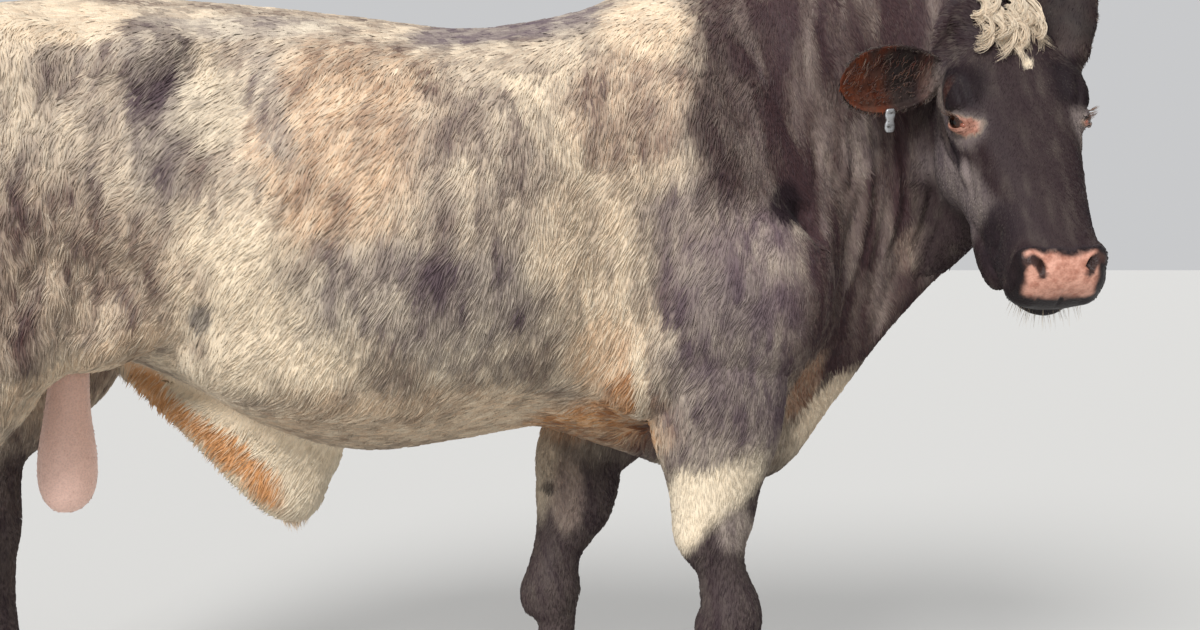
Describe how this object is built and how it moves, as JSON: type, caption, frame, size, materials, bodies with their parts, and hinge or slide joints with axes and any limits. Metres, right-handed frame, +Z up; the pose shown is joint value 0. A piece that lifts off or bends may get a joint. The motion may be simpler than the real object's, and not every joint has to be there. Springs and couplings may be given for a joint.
{
  "type": "beef shorthorn bull",
  "caption": "Life-size still model of a roan beef shorthorn bull, standing with its head turned to its right, parted into head, neck, torso, legs, ears and tail.",
  "frame": {"origin": "on the floor under the middle of the animal's bounding box", "axes": "+X forward along the body, towards the chest; +Y to the animal's left; +Z up"},
  "size_m": [2.333, 0.8246, 1.586],
  "materials": {
    "dark_coat": "short dark purplish-brown hair lying flat",
    "roan_coat": "short roan hair, cream mixed with grey-brown",
    "ear_coat": "short hair, rust-brown inside the ear",
    "bare_skin": "bare pink skin, fine wrinkles",
    "long_hair": "long cream hair in locks",
    "eye": "wet, dark brown, glossy",
    "hoof": "dark horn with a low sheen",
    "tag_metal": "plain metal clip, worn"
  },
  "bodies": {
    "root": {"head": "dark_coat", "neck": "dark_coat", "torso": "roan_coat", "foreleg_right": "dark_coat", "foreleg_left": "dark_coat", "hindleg_right": "dark_coat", "hindleg_left": "dark_coat", "ear_right": "ear_coat", "ear_left": "ear_coat", "ear_tag": "tag_metal", "eye_right": "eye", "eye_left": "eye", "claw_fore_right_outer": "hoof", "claw_fore_right_inner": "hoof", "claw_fore_left_outer": "hoof", "claw_fore_left_inner": "hoof", "claw_hind_right_outer": "hoof", "claw_hind_right_inner": "hoof", "claw_hind_left_outer": "hoof", "claw_hind_left_inner": "hoof", "dewclaw_fore_right_outer": "hoof", "dewclaw_fore_right_inner": "hoof", "dewclaw_fore_left_outer": "hoof", "dewclaw_fore_left_inner": "hoof", "dewclaw_hind_right_outer": "hoof", "dewclaw_hind_right_inner": "hoof", "dewclaw_hind_left_outer": "hoof", "dewclaw_hind_left_inner": "hoof", "scrotum": "bare_skin", "sheath": "roan_coat", "tail": "roan_coat", "tail_switch": "long_hair"}
  },
  "joints": []
}
